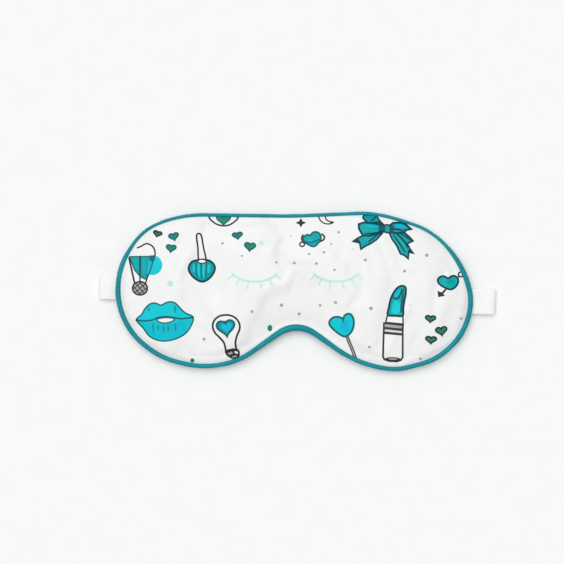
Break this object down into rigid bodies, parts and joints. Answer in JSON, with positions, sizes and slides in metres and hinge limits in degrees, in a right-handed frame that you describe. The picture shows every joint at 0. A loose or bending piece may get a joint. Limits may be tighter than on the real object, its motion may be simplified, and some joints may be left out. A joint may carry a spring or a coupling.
{
  "type": "sleep mask",
  "caption": "Padded satin sleep mask with a printed front, teal piped edge, nose notch and a flat elastic head strap.",
  "frame": {"origin": "on the resting surface, at the underside of the elastic strap, below the middle of the mask", "axes": "+X along the mask towards its right end as seen from the printed side, +Y towards the forehead edge, +Z out of the printed face, away from the wearer"},
  "size_m": [0.2348, 0.0944, 0.01],
  "materials": {
    "printed_satin": "satin",
    "plain_satin": "satin",
    "black_lining": "matte",
    "wadding": "matte",
    "teal_satin": "satin",
    "cotton_cord": "matte",
    "thread": "satin",
    "label_satin": "satin",
    "elastic": "matte"
  },
  "bodies": {
    "strap": {"strap_band": "elastic"},
    "mask": {"front_panel": "printed_satin", "blackout_lining": "black_lining", "padding": "wadding", "back_panel": "plain_satin", "piping_cover": "teal_satin", "piping_cord": "cotton_cord", "seam_thread": "thread", "strap_tack_left": "thread", "strap_tack_right": "thread", "closing_stitches": "thread", "care_label": "label_satin", "strap_end_left": "elastic", "strap_end_right": "elastic"}
  },
  "joints": [
    {"name": "strap_pull", "type": "slide", "parent": "strap", "child": "mask", "axis": [0, 0, 1], "range_m": [0, 0.12], "stiffness_N_per_m": 15}
  ]
}
